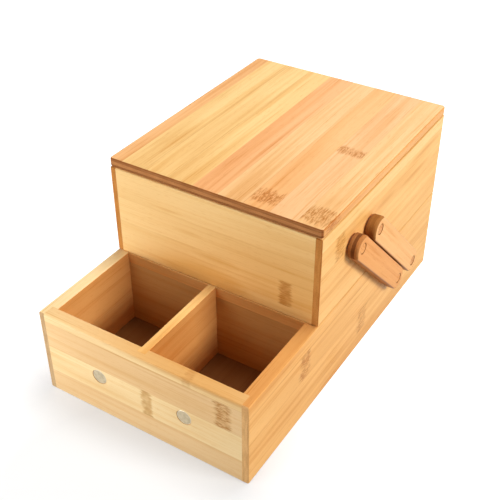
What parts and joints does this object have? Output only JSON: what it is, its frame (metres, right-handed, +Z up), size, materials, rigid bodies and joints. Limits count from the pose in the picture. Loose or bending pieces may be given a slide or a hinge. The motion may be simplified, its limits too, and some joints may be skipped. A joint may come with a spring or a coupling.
{
  "type": "swing-arm desk box",
  "caption": "Bamboo desk organizer: an open tray with front cells under a lidded box that swings up and back on parallel side arms.",
  "frame": {"origin": "on the table, under the middle of the base", "axes": "+X to the right seen from the front cells, +Y towards the back, +Z up"},
  "size_m": [0.1772, 0.2731, 0.1401],
  "materials": {
    "bamboo": "satin lacquer",
    "steel": "satin",
    "hinge_metal": "satin",
    "nickel": "satin",
    "nylon": "matte"
  },
  "bodies": {
    "base": {"base_left_side": "bamboo", "base_right_side": "bamboo", "base_front": "bamboo", "base_back": "bamboo", "base_floor": "bamboo", "base_cross_wall": "bamboo", "base_divider": "bamboo", "left_magnet": "nickel", "right_magnet": "nickel", "base_pivot_screws": "steel", "base_pivot_washers": "nylon"},
    "right_rear_arm": {"right_rear_arm": "bamboo", "right_rear_arm_plugs": "bamboo"},
    "right_front_arm": {"right_front_arm": "bamboo", "right_front_arm_plugs": "bamboo"},
    "left_rear_arm": {"left_rear_arm": "bamboo", "left_rear_arm_plugs": "bamboo"},
    "left_front_arm": {"left_front_arm": "bamboo", "left_front_arm_plugs": "bamboo"},
    "top_box": {"box_left_side": "bamboo", "box_right_side": "bamboo", "box_front": "bamboo", "box_back": "bamboo", "box_floor": "bamboo", "box_pivot_screws": "steel", "box_pivot_washers": "nylon", "left_hinge_box_leaf": "hinge_metal", "right_hinge_box_leaf": "hinge_metal", "left_hinge_pin": "hinge_metal", "right_hinge_pin": "hinge_metal", "hinge_box_screws": "hinge_metal"},
    "lid": {"lid": "bamboo", "left_hinge_lid_leaf": "hinge_metal", "right_hinge_lid_leaf": "hinge_metal", "hinge_lid_screws": "hinge_metal"}
  },
  "joints": [
    {"name": "swing", "type": "hinge", "parent": "base", "child": "right_rear_arm", "pos_m": [0.08495, 0.083, 0.036], "axis": [-1, 0, 0], "range_deg": [0, 90]},
    {"name": "box_level", "type": "hinge", "parent": "right_rear_arm", "child": "top_box", "pos_m": [0.08495, 0.0137, 0.1053], "axis": [-1, 0, 0], "range_deg": [-90, 0]},
    {"name": "right_front_arm_swing", "type": "hinge", "parent": "base", "child": "right_front_arm", "pos_m": [0.08495, 0.05769, 0.036], "axis": [-1, 0, 0], "range_deg": [0, 90]},
    {"name": "left_rear_arm_swing", "type": "hinge", "parent": "base", "child": "left_rear_arm", "pos_m": [-0.08495, 0.083, 0.036], "axis": [-1, 0, 0], "range_deg": [0, 90]},
    {"name": "left_front_arm_swing", "type": "hinge", "parent": "base", "child": "left_front_arm", "pos_m": [-0.08495, 0.05769, 0.036], "axis": [-1, 0, 0], "range_deg": [0, 90]},
    {"name": "lid_hinge", "type": "hinge", "parent": "top_box", "child": "lid", "pos_m": [0, 0.1366, 0.13345], "axis": [-1, 0, 0], "range_deg": [0, 100]}
  ],
  "couplings": [
    {"joint": "box_level", "follows": "swing", "ratio": -1},
    {"joint": "right_front_arm_swing", "follows": "swing", "ratio": 1},
    {"joint": "left_rear_arm_swing", "follows": "swing", "ratio": 1},
    {"joint": "left_front_arm_swing", "follows": "swing", "ratio": 1}
  ]
}
